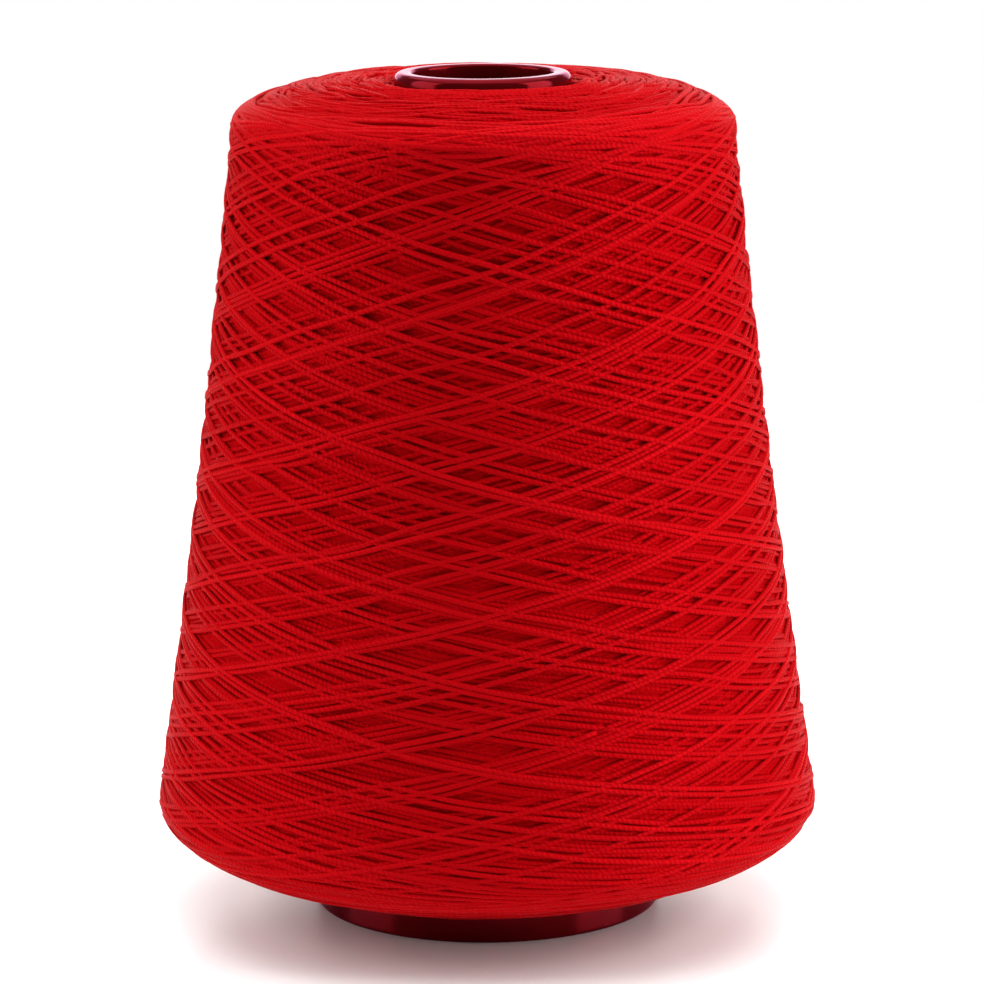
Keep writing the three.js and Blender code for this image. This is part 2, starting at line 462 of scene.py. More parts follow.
    def lay_stroke(self, first, turns, along, level):
        """Lays one stroke, whose turns start at the turn first, on what is wound so far."""
        form = self.form
        indices = np.arange(int(first / form.step) + 1, int((first + turns[-1]) / form.step) + 1)
        columns = indices % form.COLUMNS
        count_laid = len(indices)
        to_end = np.minimum(np.arange(count_laid), np.arange(count_laid)[::-1])
        free = np.clip(to_end / self.HELD_COLUMNS, 0, 1)
        path = np.interp(indices * form.step, first + turns, along)
        path = path + free * self.wander(count_laid, self.STROKE_WANDER, self.STROKE_KNOTS)
        path = path + free * self.slide(columns, path, self.STROKE_SLIDE, self.STROKE_EASE)
        radius = np.interp(path, form.along, form.radius)
        across = form.step * radius
        run = np.hypot(across, np.gradient(path))
        bend = np.cumsum(np.cumsum((across / run) ** 2 / radius * run) * run)
        lift = drawn_tight(np.cumsum(run), self.support(columns, path) - bend) + bend
        layer = level * np.interp(path, form.along, self.share)
        lift = layer + self.FREE_RISE * np.tanh((lift - layer) / self.FREE_RISE)
        if self.side_lift:
            fading = np.clip(1 - np.arange(count_laid) / self.JOINED_COLUMNS, 0, 1)
            lift += (self.side_lift[-1][-1] - lift[0]) * fading
        self.press(columns, path, lift)
        self.side_along.append(path)
        self.side_lift.append(lift)

    def guide_turns(self):
        """Turns of each double stroke: ribbons that grow side by side, then start afresh elsewhere."""
        sizes = self.sizes
        stray, left = 0.0, 0
        for _ in range(sizes.strokes):
            before = stray
            stray = self.STRAY_KEPT * stray + self.random.normal(0, self.STROKE_STRAY)
            turns = TURN * sizes.turns + sizes.beside / self.FIFTH + stray - before
            left -= 1
            if left <= 0:
                left = self.random.integers(sizes.ribbon_least, sizes.ribbon_most)
                turns += self.random.normal(sizes.ribbon_jump, self.JUMP_STRAY)
            yield turns

    def lay_side(self):
        """Winds one long thread up and down the side."""
        sizes = self.sizes
        turn, foot = 0.0, self.foot
        for number_laid, turns in enumerate(self.guide_turns()):
            level = self.radius - self.depth + number_laid * sizes.growth
            head = self.head + self.random.normal(0, sizes.uneven)
            next_foot = self.foot + self.random.normal(0, self.FOOT_UNEVEN * sizes.uneven)
            up, up_along = self.traverse(foot, head, sizes.rise_up)
            down, down_along = self.traverse(next_foot, head, sizes.rise_down)
            stretch = turns / (up[-1] + down[-1])
            self.lay_stroke(turn, up * stretch, up_along, level)
            back = (down[-1] - down[::-1]) * stretch
            self.lay_stroke(turn + up[-1] * stretch, back, down_along[::-1], level)
            turn += turns
            foot = next_foot

    def settle(self):
        """How far each ring of the winding has to sink for its highest threads to reach the outline."""
        form = self.form
        top = np.percentile(self.map, self.HIGHEST, axis=0)
        low_side, high_side = form.belly + self.SIDE_INSET, form.shoulder - self.SIDE_INSET
        stations = (0, self.foot, low_side, high_side, self.head, form.end - self.NOSE_REACH, form.end)
        side, edge, nose = self.PROUD_SIDE, self.PROUD_SHOULDER, self.PROUD_NOSE
        rises = (side, edge, side, side, edge, nose, nose)
        return blurred(top, self.LEVEL_REACH) - np.interp(form.along, stations, rises)

    def backing(self):
        """Height of the deep layers over the outline, for each cell."""
        near = smoothed(self.map, self.BACKING_REACH) - self.BACKING_NEAR
        far = blurred(self.map.mean(axis=0), self.LEVEL_REACH) - self.BACKING_FAR
        return np.maximum(near, far) - self.settle()

    def stroke_phases(self):
        """Turn that an upward and a downward stroke have made at each place along the outline."""
        sizes = self.sizes
        phases = []
        for rises in (sizes.rise_up, sizes.rise_down):
            turns, along = self.traverse(self.foot, self.head, rises)
            phases.append(np.interp(self.form.along, along, turns))
        return phases


@functools.cache
def wind():
    """Winds the whole package once and keeps it for every piece that is made of it."""
    scene = bpy.context.scene
    form = WoundForm(scene.cone_sizes, scene.form_sizes)
    winding = Winding(form, scene.winding_sizes)
    inset = 1.0 * MM
    overlap = 5 * MM
    winding.lay_end_turns(form.end - inset, winding.head - overlap, "top")
    winding.lay_end_turns(inset, winding.foot + overlap, "underside")
    winding.lay_side()
    return winding


# ---- Meshes from arrays ----------------------------------------------------


def mesh_of(name, points, faces, material):
    """A mesh object of points and of faces given as lists of rows of point numbers."""
    mesh = bpy.data.meshes.new(name)
    corners = np.concatenate([rows.ravel() for rows in faces])
    sizes = np.concatenate([np.full(len(rows), rows.shape[1]) for rows in faces])
    starts = np.concatenate([[0], np.cumsum(sizes)[:-1]])
    mesh.vertices.add(len(points))
    mesh.vertices.foreach_set("co", points.astype(np.float32).ravel())
    mesh.loops.add(len(corners))
    mesh.polygons.add(len(sizes))
    mesh.polygons.foreach_set("loop_start", starts.astype(np.int32))
    mesh.polygons.foreach_set("vertices", corners.astype(np.int32))
    mesh.polygons.foreach_set("use_smooth", np.full(len(sizes), True))
    mesh.update(calc_edges=True)
    mesh.materials.append(material)
    piece = bpy.data.objects.new(name, mesh)
    bpy.context.scene.collection.objects.link(piece)
    return piece


def uv_map(mesh, name, places):
    """Adds a UV map with one place for each face corner."""
    layer = mesh.uv_layers.new(name=name, do_init=False)
    layer.uv.foreach_set("vector", places.astype(np.float32).ravel())


def point_values(mesh, name, values):
    """Adds a number to every point."""
    mesh.attributes.new(name, "FLOAT", "POINT").data.foreach_set("value", values.astype(np.float32))


def turned(name, outline, sides, material):
    """A closed ring turned round the axis from a closed outline of radius and height, or one a side."""
    if outline.ndim == 2:
        outline = np.repeat(outline[:, None], sides, axis=1)
    turn = np.arange(sides) * TURN / sides
    radius, height = outline[..., 0], outline[..., 1]
    points = np.stack([radius * np.cos(turn), radius * np.sin(turn), height], 2).reshape(-1, 3)
    rows = len(outline)
    row, side = (index.ravel() for index in np.indices((rows, sides)))
    after, beside = (row + 1) % rows, (side + 1) % sides
    corners = [row * sides + side, row * sides + beside, after * sides + beside, after * sides + side]
    return mesh_of(name, points, [np.stack(corners, 1)], material)


def tube_rings(points, normals, width, depth, sides):
    """Oval rings of points round a thread's path."""
    ahead = np.gradient(points, axis=0)
    ahead /= np.linalg.norm(ahead, axis=1)[:, None]
    across = np.cross(ahead, normals)
    across /= np.linalg.norm(across, axis=1)[:, None]
    upright = np.cross(across, ahead)
    turn = np.arange(sides) * TURN / sides
    sideways = across[:, None] * (np.cos(turn) * width / 2)[None, :, None]
    upward = upright[:, None] * (np.sin(turn) * depth / 2)[None, :, None]
    return (points[:, None] + sideways + upward).reshape(-1, 3)


class ThreadBundle:
    """Many stretches of thread in one mesh."""

    FLATTEN = 0.8  # a laid thread's depth against its width
    FULLNESS = 1.1  # how much wider its loose fibres make it than the room it takes
    ROW_FILL = 0.9  # share of its strip that a stretch of thread fills on the picture map
    OPEN, COVERED = -0.1 * MM, -1.15 * MM  # lifts at which a thread lies open and lies deep, where its painted shade starts and is full
    FLANK_SHADE = 1.8  # how much painted shade a thread's underside and sides get beside its crest
    PICTURE = 1024  # points across the picture map

    def __init__(self, winding, sides, spacing):
        self.winding = winding
        self.sides = sides
        self.spacing = spacing
        self.points, self.tubes, self.tips = [], [], []
        self.run, self.tone, self.depth = [], [], []
        self.total = 0
        self.sink = winding.settle()

    def add(self, start, along, lift, tones):
        """Adds one laid stretch, stepped at about the spacing, from its first column on."""
        form = self.winding.form
        turn = (start + np.arange(len(along))) * form.step
        radius = np.interp(along, form.along, form.radius)
        run = np.cumsum(np.hypot(form.step * radius, np.gradient(along)))
        rings = max(3, int(round((run[-1] - run[0]) / self.spacing)) + 1)
        at = np.linspace(run[0], run[-1], rings)
        turn, along, lift = (np.interp(at, run, line) for line in (turn, along, lift))
        lift = lift - np.interp(along, form.along, self.sink)
        points, normals = form.place(turn, along, lift)
        width = self.winding.sizes.thread * self.FULLNESS
        self.points.append(tube_rings(points, normals, width, width * self.FLATTEN, self.sides))
        sides = self.sides
        ring, side = (index.ravel() for index in np.indices((rings - 1, sides)))
        beside = (side + 1) % sides
        first = self.total + ring * sides
        after = first + sides
        self.tubes.append(np.stack([first + side, first + beside, after + beside, after + side], 1))
        ends = np.arange(sides)
        last = self.total + (rings - 1) * sides
        self.tips.append(np.stack([self.total + ends[::-1], last + ends]))
        self.run.append(np.stack([at[ring], at[ring], at[ring + 1], at[ring + 1]], 1))
        shade = np.interp(at, np.linspace(run[0], run[-1], len(tones)), tones)
        self.tone.append(np.repeat(shade, sides))
        # Painted shade, kept in the depth attribute: a thread darkens as it lies under others, and on its
        # underside and sides.
        covered_shade = (self.OPEN - lift) / (self.OPEN - self.COVERED)
        flank_shade = self.FLANK_SHADE * (1 - np.sin(ends * TURN / sides)) / 2
        self.depth.append(np.clip(np.clip(covered_shade, 0, 1)[:, None] + flank_shade, 0, 1).ravel())
        self.total += rings * sides

    def make(self, name, material):
        """The bundle as one piece, with maps for the twist and for pictures of its finish."""
        tubes, tips = np.concatenate(self.tubes), np.concatenate(self.tips)
        piece = mesh_of(name, np.concatenate(self.points), [tubes, tips], material)
        side = np.arange(len(tubes)) % self.sides
        round_it = np.stack([side, side + 1, side + 1, side], 1) / self.sides
        along_it = np.concatenate(self.run)
        twist = np.stack([along_it.ravel(), round_it.ravel()], 1)
        uv_map(piece.data, "twist", np.vstack([twist, np.zeros((tips.size, 2))]))
        strips = self.strips(len(tubes), round_it)
        uv_map(piece.data, "OFBake", np.vstack([strips, self.tip_places(tips.size)]))
        point_values(piece.data, "tone", np.concatenate(self.tone))
        # The depth attribute carries each point's painted shade.
        point_values(piece.data, "depth", np.concatenate(self.depth))
        finish_piece(piece, "thread", "wound_thread")

    def strips(self, faces, round_it):
        """Lays the tubes' faces out in rows of equal strips, so that each keeps its own colours."""
        rings = faces // self.sides
        rows = math.ceil(math.sqrt(rings))
        ring = np.arange(faces) // self.sides
        row, column = ring // rows, ring % rows
        left, right = column / rows, (column + 1) / rows
        u = np.stack([left, left, right, right], 1)
        v = (row[:, None] + (1 - self.ROW_FILL) / 2 + round_it * self.ROW_FILL) / rows
        return np.stack([u.ravel(), v.ravel()], 1)

    def tip_places(self, corners):
        """Puts the tips, which never show, in one corner of the picture map."""
        turn = (np.arange(corners) % self.sides) * TURN / self.sides
        spot = 0.5 / self.PICTURE
        return spot + np.stack([np.cos(turn), np.sin(turn)], 1) * spot


def finish_piece(piece, slot, *nodes):
    """Every piece rides on the one body and stands for its nodes; its slot is not used."""
    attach(piece, "root")
    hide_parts(*nodes)


# ---- Materials -------------------------------------------------------------


class Nodes:
    """Short calls for building a node tree."""

    def __init__(self, tree):
        self.tree = tree

    def add(self, kind, **settings):
        """A node with its settings."""
        node = self.tree.nodes.new(kind)
        for key, value in settings.items():
            setattr(node, key, value)
        return node

    def link(self, value, socket):
        """Links a socket, or sets a plain value."""
        if isinstance(value, bpy.types.NodeSocket):
            self.tree.links.new(value, socket)
        else:
            socket.default_value = value

    def fill(self, node, **values):
        """Links or sets inputs, named with underscores for spaces, and hands back the outputs."""
        for key, value in values.items():
            self.link(value, node.inputs[key.replace("_", " ")])
        return node.outputs

    def sum(self, operation, first, second=0.0, third=0.0):
        """One step of arithmetic."""
        node = self.add("ShaderNodeMath", operation=operation)
        for value, socket in zip((first, second, third), node.inputs):
            self.link(value, socket)
        return node.outputs[0]

    def noise(self, vector, scale, detail=2.0):
        """Soft noise from 0 to 1."""
        node = self.add("ShaderNodeTexNoise")
        return self.fill(node, Vector=vector, Scale=scale, Detail=detail)["Fac"]

    def mixed(self, share, first, second):
        """A colour between two."""
        node = self.add("ShaderNodeMix", data_type="RGBA")
        self.link(share, node.inputs["Factor"])
        self.link(first, node.inputs[6])
        self.link(second, node.inputs[7])
        return node.outputs[2]

    def spread(self, value, low, high, to_low=0.0, to_high=1.0):
        """Maps a range of values to another, held at its ends."""
        node = self.add("ShaderNodeMapRange")
        limits = {"From_Min": low, "From_Max": high, "To_Min": to_low, "To_Max": to_high}
        return self.fill(node, Value=value, **limits)["Result"]

    def bumped(self, height, distance, strength, **under):
        """A normal bent by a height, over another Normal if one is given."""
        node = self.add("ShaderNodeBump")
        return self.fill(node, Height=height, Distance=distance, Strength=strength, **under)["Normal"]

    def grouped(self, tree, **values):
        """Places a group and sets or links its inputs."""
        return self.fill(self.add("ShaderNodeGroup", node_tree=tree), **values)


def kept(store, name):
    """Marks the builder of a group or material, which is built once and found by name after that."""

    def mark(build):
        @functools.wraps(build)
        def found():
            return getattr(bpy.data, store).get(name) or build(name)

        return found

    return mark


def shader_group(name, outputs, **inputs):
    """An empty group with a vector input for each None and number inputs for the rest, and its helper."""
    tree = bpy.data.node_groups.new(name, "ShaderNodeTree")
    for key, default in inputs.items():
        kind = "NodeSocketVector" if default is None else "NodeSocketFloat"
        socket = tree.interface.new_socket(key.replace("_", " "), in_out="INPUT", socket_type=kind)
        if default is not None:
            socket.default_value = default
    for label in outputs:
        tree.interface.new_socket(label, in_out="OUTPUT", socket_type="NodeSocketFloat")
    nodes = Nodes(tree)
    return tree, nodes, nodes.add("NodeGroupInput").outputs, nodes.add("NodeGroupOutput").inputs


@kept("node_groups", "Plied twist")
def plied_twist(name):
    """Group: the round plies of a twisted thread as a height, and a mask of the grooves between them for
    painted shade, from its length and its girth.
    """
    outputs = "Height", "Groove_shade"
    tree, nodes, given, result = shader_group(
        name, outputs, Place=None, Ply_length=0.8 * MM, Plies=2.0, Unevenness=0.25
    )
    slow_scale, groove_width = 260.0, 0.55
    split = nodes.add("ShaderNodeSeparateXYZ")
    nodes.link(given["Place"], split.inputs[0])
    along = nodes.sum("DIVIDE", split.outputs["X"], given["Ply length"])
    line = nodes.fill(nodes.add("ShaderNodeCombineXYZ"), X=split.outputs["X"])
    slow = nodes.noise(line[0], slow_scale, 1.0)
    loosened = nodes.sum("MULTIPLY_ADD", slow, given["Unevenness"], along)
    phase = nodes.sum("MULTIPLY_ADD", split.outputs["Y"], given["Plies"], loosened)
    wave = nodes.sum("SINE", nodes.sum("MULTIPLY", phase, math.pi))
    height = nodes.sum("ABSOLUTE", wave)
    nodes.link(height, result["Height"])
    # The groove mask is one in the grooves between the plies, where shade is painted.
    nodes.link(nodes.spread(height, 0.0, groove_width, 1.0, 0.0), result["Groove_shade"])
    return tree


@kept("node_groups", "Fine fibres")
def fine_fibres(name):
    """Group: the fuzz of short fibres that breaks up a spun surface, and slow patches over it."""
    outputs = "Fibre", "Patch"
    tree, nodes, given, result = shader_group(name, outputs, Place=None, Scale=2600.0)
    patch_scale = 38.0
    nodes.link(nodes.noise(given["Place"], given["Scale"], 3.0), result["Fibre"])
    nodes.link(nodes.noise(given["Place"], patch_scale), result["Patch"])
    return tree


@kept("node_groups", "Crossing threads")
def crossing_threads(name):
    """Group: threads that cross in two directions, from how many lie before each place both ways."""
    tree, nodes, given, result = shader_group(name, ["Height"], Place=None, Patchiness=0.35)
    under = 0.3  # how far the threads that lie below stay under those on top
    split = nodes.add("ShaderNodeSeparateXYZ")
    nodes.link(given["Place"], split.inputs[0])
    rise, fall = (
        nodes.sum("ABSOLUTE", nodes.sum("SINE", nodes.sum("MULTIPLY", split.outputs[axis], math.pi)))
        for axis in ("X", "Y")
    )
    patch = nodes.spread(nodes.noise(given["Place"], given["Patchiness"], 1.0), 0.42, 0.58)
    rise_over = nodes.sum("MAXIMUM", rise, nodes.sum("SUBTRACT", fall, under))
    fall_over = nodes.sum("MAXIMUM", fall, nodes.sum("SUBTRACT", rise, under))
    part_one = nodes.sum("MULTIPLY", rise_over, patch)
    part_two = nodes.sum("MULTIPLY", fall_over, nodes.sum("SUBTRACT", 1.0, patch))
    nodes.link(nodes.sum("ADD", part_one, part_two), result["Height"])
    return tree


def new_material(name):
    """A material, its node helper and its principled shader."""
    material = bpy.data.materials.new(name)
    material.use_nodes = True
    return material, Nodes(material.node_tree), material.node_tree.nodes["Principled BSDF"]


def rgba(value, strength=1.0):
    """A colour with full opacity."""
    return (*(strength * part for part in value), 1.0)


SPUN_IOR = 1.05  # spun fibres show no clear surface, so they hardly reflect
FUZZ_DEPTH, FUZZ_STRENGTH = 0.03 * MM, 0.5


@kept("materials", "Twisted thread")
def thread_material(name):
    """The twisted thread, with painted shade where it lies deep, on its underside and sides, and between its
    plies.
    """
    finishes = bpy.context.scene.finishes
    material, nodes, shader = new_material(name)
    space = nodes.add("ShaderNodeTexCoord").outputs["Object"]
    dim, most_patchy, groove_shade_share = 0.72, 0.25, 0.35
    twist_depth, twist_strength = 0.12 * MM, 0.8
    place = nodes.add("ShaderNodeUVMap", uv_map="twist").outputs["UV"]
    twist = nodes.grouped(plied_twist(), Place=place, Ply_length=1.2 * MM, Plies=2.0, Unevenness=2.0)
    fibres = nodes.grouped(fine_fibres(), Place=space, Scale=2600.0)
    tone = nodes.add("ShaderNodeAttribute", attribute_name="tone").outputs["Fac"]
    body = nodes.mixed(tone, rgba(finishes.thread, dim), rgba(finishes.thread))
    # Painted shade: the depth attribute darkens threads that lie under others, and each thread's underside
    # and sides.
    depth = nodes.add("ShaderNodeAttribute", attribute_name="depth").outputs["Fac"]
    body = nodes.mixed(depth, body, rgba(finishes.deep_shade))
    # Slow random patches of darker tone, fading toward the groove shade colour; these patches are tone, not
    # shade.
    patch = nodes.spread(fibres["Patch"], 0.3, 0.7, 0.0, most_patchy)
    body = nodes.mixed(patch, body, rgba(finishes.groove_shade))
    # Painted shade in the grooves between the plies.
    groove_shade = nodes.sum("MULTIPLY", twist["Groove_shade"], groove_shade_share)
    relief = nodes.bumped(twist["Height"], twist_depth, twist_strength)
    nodes.fill(
        shader,
        Base_Color=nodes.mixed(groove_shade, body, rgba(finishes.groove_shade)),
        Roughness=nodes.spread(fibres["Fibre"], 0.3, 0.7, 0.36, 0.54),
        Normal=nodes.bumped(fibres["Fibre"], FUZZ_DEPTH, FUZZ_STRENGTH, Normal=relief),
        Metallic=0.1,
        IOR=SPUN_IOR,
        Specular_Tint=rgba(finishes.gloss),
    )
    return material


@kept("materials", "Deep layers")
def ground_material(name):
    """The deeper layers that show only between the threads, in painted shade darker than the thread."""
    finishes = bpy.context.scene.finishes
    material, nodes, shader = new_material(name)
    space = nodes.add("ShaderNodeTexCoord").outputs["Object"]
    relief_depth, relief_strength = 0.4 * MM, 0.7
    place = nodes.add("ShaderNodeUVMap", uv_map="strokes").outputs["UV"]
    fibres = nodes.grouped(fine_fibres(), Place=space, Scale=2600.0)
    threads = nodes.grouped(crossing_threads(), Place=place, Patchiness=0.35)
    # Painted shade: the deep layers are thread like the rest, coloured darker as if shaded; the crossing
    # threads' relief moves between the two painted shade colours.
    crest = nodes.spread(threads["Height"], 0.1, 0.7)
    relief = nodes.bumped(threads["Height"], relief_depth, relief_strength)
    nodes.fill(
        shader,
        Base_Color=nodes.mixed(crest, rgba(finishes.deep_shade), rgba(finishes.groove_shade)),
        Roughness=nodes.spread(fibres["Patch"], 0.3, 0.7, 0.7, 0.85),
        Normal=nodes.bumped(fibres["Fibre"], FUZZ_DEPTH, FUZZ_STRENGTH, Normal=relief),
        IOR=SPUN_IOR,
    )
    return material


@kept("materials", "Moulded plastic")
def plastic_material(name):
    """The glossy plastic with a tinted sheen, faint turning marks and handling haze."""
    finishes = bpy.context.scene.finishes
    material, nodes, shader = new_material(name)
    space = nodes.add("ShaderNodeTexCoord").outputs["Object"]
    mark_scale, mark_stretch = 2400.0, (0.02, 0.02, 1.0)
    mark_depth, mark_strength = 0.02 * MM, 0.25
    patches = nodes.grouped(fine_fibres(), Place=space, Scale=420.0)["Patch"]
    rings = nodes.fill(nodes.add("ShaderNodeMapping"), Vector=space, Scale=mark_stretch)
    marks = nodes.noise(rings["Vector"], mark_scale)
    pale = rgba(tuple(min(1.0, 1.5 * part + 0.002) for part in finishes.plastic))
    haze = nodes.spread(patches, 0.35, 0.7)
    nodes.fill(
        shader,
        Base_Color=nodes.mixed(haze, rgba(finishes.plastic), pale),
        Roughness=nodes.spread(patches, 0.3, 0.75, 0.1, 0.18),
        Normal=nodes.bumped(marks, mark_depth, mark_strength),
        Metallic=0.5,
        Specular_IOR_Level=0.05,
        Specular_Tint=rgba(finishes.sheen),
    )
    return material


@kept("materials", "Pale floor")
def floor_material(name):
    """The plain pale floor."""
    material, nodes, shader = new_material(name)
    nodes.fill(shader, Base_Color=rgba(bpy.context.scene.finishes.floor), Roughness=0.3)
    return material


# ---- Pieces ----------------------------------------------------------------


def rounded_corner(before, corner, after, radius, steps=7):
    """Points of an arc that rounds one corner of an outline."""
    before, corner, after = (np.array(point) for point in (before, corner, after))
    to_before = (before - corner) / np.linalg.norm(before - corner)
    to_after = (after - corner) / np.linalg.norm(after - corner)
    half = math.acos(float(np.clip(to_before @ to_after, -1, 1))) / 2
    reach = radius / math.tan(half)
    middle = (to_before + to_after) / np.linalg.norm(to_before + to_after)
    centre = corner + middle * radius / math.sin(half)
    first = corner + to_before * reach - centre
    last = corner + to_after * reach - centre
    sweep = math.pi - 2 * half
    share = np.linspace(0, 1, steps)[:, None]
    return centre + (np.sin((1 - share) * sweep) * first + np.sin(share * sweep) * last) / math.sin(sweep)


def cone_outline(sizes):
    """Closed outline of the moulded cone's wall."""
    slope = math.tan(sizes.half_angle)
    nose = sizes.base_radius - sizes.height * slope
    below_lip = sizes.height - sizes.neck_depth - sizes.neck_flare
    foot_in = (sizes.base_radius - sizes.wall, 0.0)
    foot_out = (sizes.base_radius, 0.0)
    nose_out = (nose, sizes.height)
    nose_in = (sizes.neck_bore, sizes.height)
    lip_end = (sizes.neck_bore, sizes.height - sizes.neck_depth)
    wall_in = (sizes.base_radius - below_lip * slope - sizes.wall, below_lip)
    outer, inner = (np.linspace(*ends, 12)[1:-1] for ends in ((foot_out, nose_out), (wall_in, foot_in)))
    return np.vstack(
        [
            rounded_corner(wall_in, foot_in, foot_out, 0.4 * sizes.base_round),
            rounded_corner(foot_in, foot_out, nose_out, sizes.base_round),
            outer,
            rounded_corner(foot_out, nose_out, nose_in, sizes.nose_round, steps=12),
            rounded_corner(nose_out, nose_in, lip_end, sizes.rim_round),
            rounded_corner(nose_in, lip_end, wall_in, 2 * sizes.rim_round),
            rounded_corner(lip_end, wall_in, foot_in, 4 * sizes.rim_round),
            inner,
        ]
    )


class THREAD_OT_moulded_cone(bpy.types.Operator):
    """Make the hollow moulded cone that the thread is wound on"""

    bl_idname = "thread_cone.moulded_cone"
    bl_label = "Moulded cone"

    def execute(self, context):
        sizes = context.scene.cone_sizes
        cone = turned("moulded_cone", cone_outline(sizes), sizes.sides, plastic_material())
        finish_piece(cone, "cone_plastic", "cone_core")
        return {"FINISHED"}


class THREAD_OT_deep_layers(bpy.types.Operator):
    """Make the closed ring of deeper layers that shows between the threads"""

    bl_idname = "thread_cone.deep_layers"
    bl_label = "Deep layers"

    ROW_STEP, COLUMN_STEP = 4, 4  # cells of the winding from one point of the ring to the next
    BORE_STEPS = 10
    THREADS_ROUND = 100  # threads side by side round the ring in its relief

    def execute(self, context):
        winding = wind()
        form = winding.form
        pick = np.arange(0, form.rows, self.ROW_STEP)
        lift = winding.backing()[:: self.COLUMN_STEP, pick].T[..., None]
        sides = lift.shape[1]
        face = np.stack([form.radius, form.height], 1)[pick, None]
        normal = np.stack([form.normal_out, form.normal_up], 1)[pick, None]
        outside = face + lift * normal
        clear = (outside[..., 0] > form.cone_radius(outside[..., 1]) + 2 * form.GAP).all(axis=1)
        outside, pick = outside[clear], pick[clear]
        bore_height = np.linspace(outside[-1, :, 1].min(), outside[0, :, 1].max(), self.BORE_STEPS)
        bore = np.stack([form.cone_radius(bore_height) + form.GAP, bore_height], 1)
        outline = np.concatenate([outside, np.repeat(bore[:, None], sides, axis=1)])
        ring = turned("deep_layers", outline, sides, ground_material())
        up, down = (phase[pick] for phase in winding.stroke_phases())
        up, down = (np.append(phase, np.zeros(self.BORE_STEPS)) for phase in (up, down))
        row, side = (index.ravel() for index in np.indices((len(outline), sides)))
        after = (row + 1) % len(outline)
        rows = np.stack([row, row, after, after], 1)
        turn = np.stack([side, side + 1, side + 1, side], 1) * TURN / sides
        phases = np.stack([turn - up[rows], turn + down[rows]], 2) * self.THREADS_ROUND / TURN
        uv_map(ring.data, "strokes", phases.reshape(-1, 2))
        finish_piece(ring, "thread", "wound_thread")
        return {"FINISHED"}


class THREAD_OT_end_turns(bpy.types.Operator):
    """Make the short turns of earlier strokes that show at the top and on the underside"""

    bl_idname = "thread_cone.end_turns"
    bl_label = "End turns"

    SIDES, SPACING = 5, 3 * MM

    def execute(self, context):
        winding = wind()
        tones = np.random.default_rng(context.scene.winding_sizes.seed + 1)
        for kind in ("top", "underside"):
            bundle = ThreadBundle(winding, self.SIDES, self.SPACING)
            for laid, start, along, lift in winding.end_strands:
                if laid == kind:
                    bundle.add(start, along, lift, tones.uniform(size=2))
            bundle.make(f"thread_{kind}_turns", thread_material())
        return {"FINISHED"}


class THREAD_OT_side_strokes(bpy.types.Operator):
    """Make the crossing strokes of thread on the side, in a few bundles"""

    bl_idname = "thread_cone.side_strokes"
    bl_label = "Side strokes"

    HIDDEN = 0.25  # share of the thread, the first wound, that is wholly covered
    MIDDLE = 0.55  # share at which the outer bundles take over from the inner
    LAYERS = (  # name, share of the thread where it starts and ends, bundles, sides, spacing
        ("inner", HIDDEN, MIDDLE, 2, 5, 4 * MM),
        ("outer", MIDDLE, 1, 4, 6, 3 * MM),
    )
    SINK_DEPTH, SINK_STEPS = 2.5 * MM, 120  # how the thread comes up out of the deep layers
    TONE_STEP = 300  # columns from one drawn tone to the next, running on from bundle to bundle

    def execute(self, context):
        winding = wind()
        draws = np.random.default_rng(context.scene.winding_sizes.seed + 2)
        along = np.concatenate(winding.side_along)
        lift = np.concatenate(winding.side_lift)
        tones = draws.uniform(size=len(along) // self.TONE_STEP + 1)
        start = int(self.HIDDEN * (len(along) - 1))
        lift[start : start + self.SINK_STEPS] -= np.linspace(self.SINK_DEPTH, 0, self.SINK_STEPS)
        for layer, low, high, bundles, sides, spacing in self.LAYERS:
            cuts = (np.linspace(low, high, bundles + 1) * (len(along) - 1)).astype(int)
            for order, (first, last) in enumerate(zip(cuts[:-1], cuts[1:]), 1):
                bundle = ThreadBundle(winding, sides, spacing)
                run = slice(first, last + 1)
                shades = tones[first // self.TONE_STEP : last // self.TONE_STEP + 1]
                bundle.add(first + 1, along[run], lift[run], shades)
                bundle.make(f"thread_{layer}_strokes_{order}", thread_material())
        return {"FINISHED"}


# ---- Studio ----------------------------------------------------------------


def soft_light(name, place, target, size, power):
    """A white rectangular soft light aimed at a point."""
    light = bpy.data.lights.new(name, "AREA")
    light.shape = "RECTANGLE"
    light.size, light.size_y = size
    light.energy = power
    lamp = bpy.data.objects.new(name, light)
    lamp.location = place
    lamp.visible_camera = False
    lamp.rotation_euler = (Vector(target) - Vector(place)).to_track_quat("-Z", "Y").to_euler()
    bpy.context.scene.collection.objects.link(lamp)


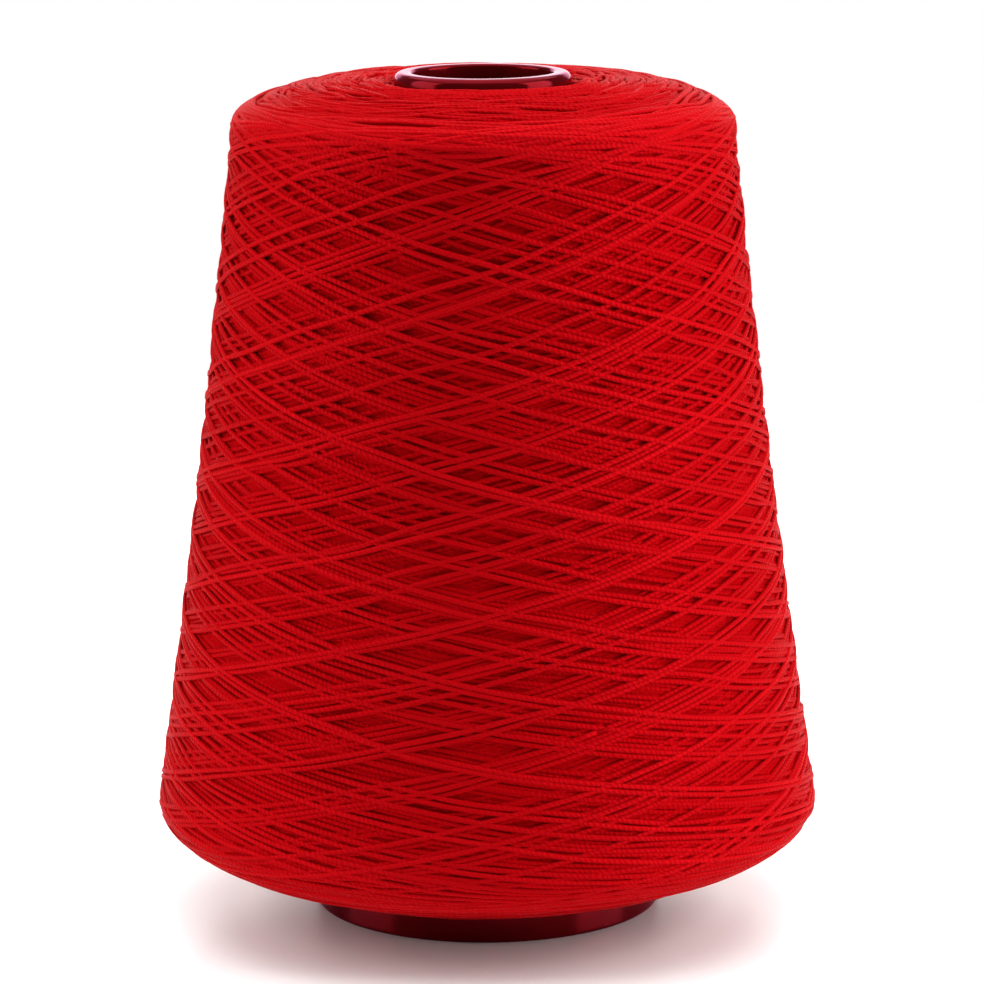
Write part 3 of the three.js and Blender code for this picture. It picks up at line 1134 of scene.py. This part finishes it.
class THREAD_OT_studio(bpy.types.Operator):
    """Make the pale floor, the soft lights and the camera"""

    bl_idname = "thread_cone.studio"
    bl_label = "Studio"

    FLOOR_RADIUS, FLOOR_SIDES = 0.6, 96
    MIDDLE = (0, 0, 0.09)
    LIGHTS = (  # name, place, target, width and height, power
        ("overhead", (0, 0.7, 1.6), (0, 0.7, 0), (2.4, 2.8), 53),
        ("backdrop_panel", (0, 2.9, 0.65), (0, 0, 0.2), (3.6, 1.2), 28),
        ("key", (1.2, -0.2, 0.5), MIDDLE, (0.9, 1.2), 24),
        ("fill", (-1.2, -0.1, 0.5), MIDDLE, (0.9, 1.2), 16),
    )

    def execute(self, context):
        self.floor()
        self.lights(context.scene)
        self.camera(context.scene)
        return {"FINISHED"}

    def floor(self):
        """A wide round floor."""
        turn = np.arange(self.FLOOR_SIDES) * TURN / self.FLOOR_SIDES
        flat = np.zeros(self.FLOOR_SIDES)
        points = np.stack([np.cos(turn), np.sin(turn), flat], 1) * self.FLOOR_RADIUS
        floor = mesh_of("studio_floor", points, [np.arange(self.FLOOR_SIDES)[None]], floor_material())
        floor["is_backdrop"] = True

    def lights(self, scene):
        """A white room, a wide light overhead, a bright panel behind, and a soft light at each side."""
        world = bpy.data.worlds.new("White room")
        scene.world = world
        world.use_nodes = True
        background = world.node_tree.nodes["Background"]
        background.inputs["Color"].default_value = (1.0, 1.0, 1.0, 1.0)
        nodes = Nodes(world.node_tree)
        seen = nodes.add("ShaderNodeLightPath").outputs["Is Camera Ray"]
        nodes.link(nodes.spread(seen, 0.0, 1.0, scene.studio_sizes.room, 1.0), background.inputs["Strength"])
        for light in self.LIGHTS:
            soft_light(*light)

    def camera(self, scene):
        """The camera, level but for its pitch and a trace of yaw and roll."""
        sizes = scene.studio_sizes
        camera = bpy.data.cameras.new("camera")
        camera.lens = sizes.lens
        camera.sensor_width = 36.0
        camera.clip_start = 0.05
        holder = bpy.data.objects.new("camera", camera)
        holder.matrix_world = (
            Matrix.Translation((0, -sizes.distance, sizes.height))
            @ Matrix.Rotation(sizes.yaw, 4, "Z")
            @ Matrix.Rotation(math.pi / 2 - sizes.pitch, 4, "X")
            @ Matrix.Rotation(sizes.roll, 4, "Z")
        )
        scene.collection.objects.link(holder)
        scene.camera = holder
        scene.view_settings.view_transform = "Standard"


# ---- Panel and registration ------------------------------------------------


class VIEW3D_PT_cone_of_thread(bpy.types.Panel):
    """Sizes, colours and steps of the cone of thread"""

    bl_idname = "VIEW3D_PT_cone_of_thread"
    bl_label = "Cone of thread"
    bl_space_type = "VIEW_3D"
    bl_region_type = "UI"
    bl_category = "Thread"

    def draw(self, context):
        layout = self.layout
        for name, group in GROUPS.items():
            box = layout.box()
            box.label(text=name.replace("_", " ").capitalize())
            for key in group.__annotations__:
                box.prop(getattr(context.scene, name), key)
        for step in STEPS:
            layout.operator(step.bl_idname)


GROUPS = {
    "cone_sizes": ConeSizes,
    "form_sizes": FormSizes,
    "winding_sizes": WindingSizes,
    "finishes": Finishes,
    "studio_sizes": StudioSizes,
}
STEPS = (
    THREAD_OT_studio,
    THREAD_OT_moulded_cone,
    THREAD_OT_deep_layers,
    THREAD_OT_end_turns,
    THREAD_OT_side_strokes,
)


def register():
    for group in GROUPS.values():
        bpy.utils.register_class(group)
    for name, group in GROUPS.items():
        setattr(bpy.types.Scene, name, PointerProperty(type=group))
    for step in STEPS:
        bpy.utils.register_class(step)
    bpy.utils.register_class(VIEW3D_PT_cone_of_thread)


def unregister():
    bpy.utils.unregister_class(VIEW3D_PT_cone_of_thread)
    for step in reversed(STEPS):
        bpy.utils.unregister_class(step)
    for name in GROUPS:
        delattr(bpy.types.Scene, name)
    for group in GROUPS.values():
        bpy.utils.unregister_class(group)


def main():
    register()
    bpy.ops.thread_cone.studio()
    bpy.ops.thread_cone.moulded_cone()
    bpy.ops.thread_cone.deep_layers()
    bpy.ops.thread_cone.end_turns()
    bpy.ops.thread_cone.side_strokes()
    boxes = {"cad": CAD_BOX, "visual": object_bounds()}
    {key: [list(corner) for corner in box] for key, box in boxes.items()}


if __name__ == "__main__":
    main()
